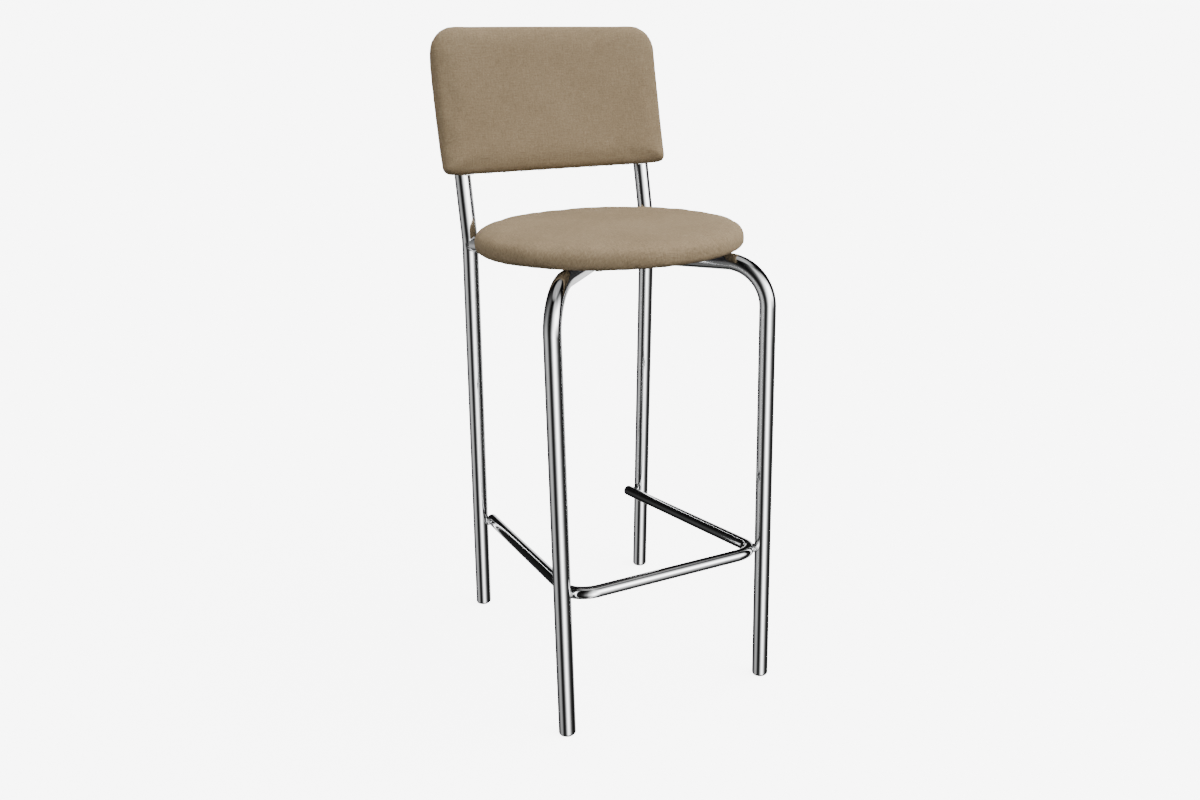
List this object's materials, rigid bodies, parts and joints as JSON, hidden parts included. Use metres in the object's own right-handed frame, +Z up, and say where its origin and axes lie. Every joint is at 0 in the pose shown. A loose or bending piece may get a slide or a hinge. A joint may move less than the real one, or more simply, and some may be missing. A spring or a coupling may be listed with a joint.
{
  "type": "bar stool",
  "caption": "Bar stool with a bent tube frame, a sloping tubular footrest, a round padded seat and a rounded padded backrest.",
  "frame": {"origin": "on the floor, under the centre of the whole stool's bounding box", "axes": "+Z up, -Y the way the sitter faces, +X to the right of someone who looks at the stool from the front"},
  "size_m": [0.353, 0.4278, 0.8749],
  "materials": {
    "chromed_tube": "bright chromium plate on drawn steel tube",
    "chromed_weld": "rippled weld bead under chromium plate",
    "chromed_washer": "bright saddle washer",
    "black_plastic": "moulded, fine matte texture",
    "plywood": "unfinished birch plywood",
    "foam": "open-cell upholstery foam",
    "taupe_fabric": "fine plain weave, taupe",
    "black_cloth": "spunbonded dust cloth",
    "zinc_steel": "zinc plated",
    "staple_wire": "galvanised wire"
  },
  "bodies": {
    "root": {"front_leg_left": "chromed_tube", "front_leg_right": "chromed_tube", "seat_cross_stub": "chromed_tube", "rear_leg_left": "chromed_tube", "rear_leg_right": "chromed_tube", "footrest_bar": "chromed_tube", "footrest_welds": "chromed_weld", "frame_welds": "chromed_weld", "foot_cap_front_left": "black_plastic", "foot_cap_front_right": "black_plastic", "foot_cap_rear_left": "black_plastic", "foot_cap_rear_right": "black_plastic", "footrest_end_cap_left": "black_plastic", "footrest_end_cap_right": "black_plastic", "upright_plug_left": "black_plastic", "upright_plug_right": "black_plastic", "seat_board": "plywood", "seat_foam": "foam", "seat_cover": "taupe_fabric", "seat_dust_cloth": "black_cloth", "seat_tee_nuts": "zinc_steel", "seat_washers": "chromed_washer", "seat_screws": "zinc_steel", "seat_staples": "staple_wire", "back_board": "plywood", "back_foam": "foam", "back_infill": "foam", "back_cover": "taupe_fabric", "back_tee_nuts": "zinc_steel", "back_screws": "zinc_steel", "back_staples": "staple_wire"}
  },
  "joints": []
}
